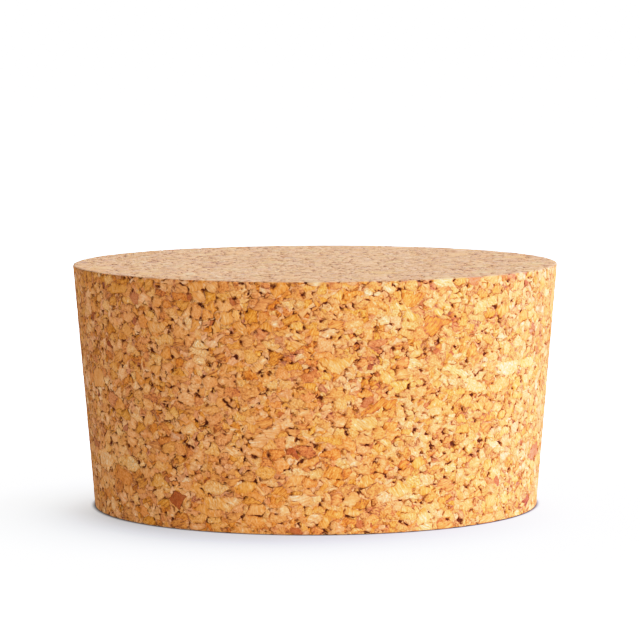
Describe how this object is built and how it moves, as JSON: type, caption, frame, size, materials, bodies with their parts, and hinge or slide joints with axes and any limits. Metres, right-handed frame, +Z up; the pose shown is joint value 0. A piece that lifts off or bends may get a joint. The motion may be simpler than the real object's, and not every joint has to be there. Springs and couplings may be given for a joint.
{
  "type": "cork stopper",
  "caption": "Large tapered round stopper of agglomerated cork granules, one solid plug that wedges in the mouth of a jar or vessel.",
  "frame": {"origin": "centre of the narrow end's flat face, which the stopper stands on", "axes": "+Z up along the axis, from the narrow end to the wide end; X and Y are any two directions across it, and -Y is the side that faces the viewer"},
  "size_m": [0.0762, 0.0762, 0.0381],
  "materials": {
    "cork": "agglomerated cork granules, turned and sanded, dry and matt"
  },
  "bodies": {
    "root": {"cork_stopper": "cork"}
  },
  "joints": []
}
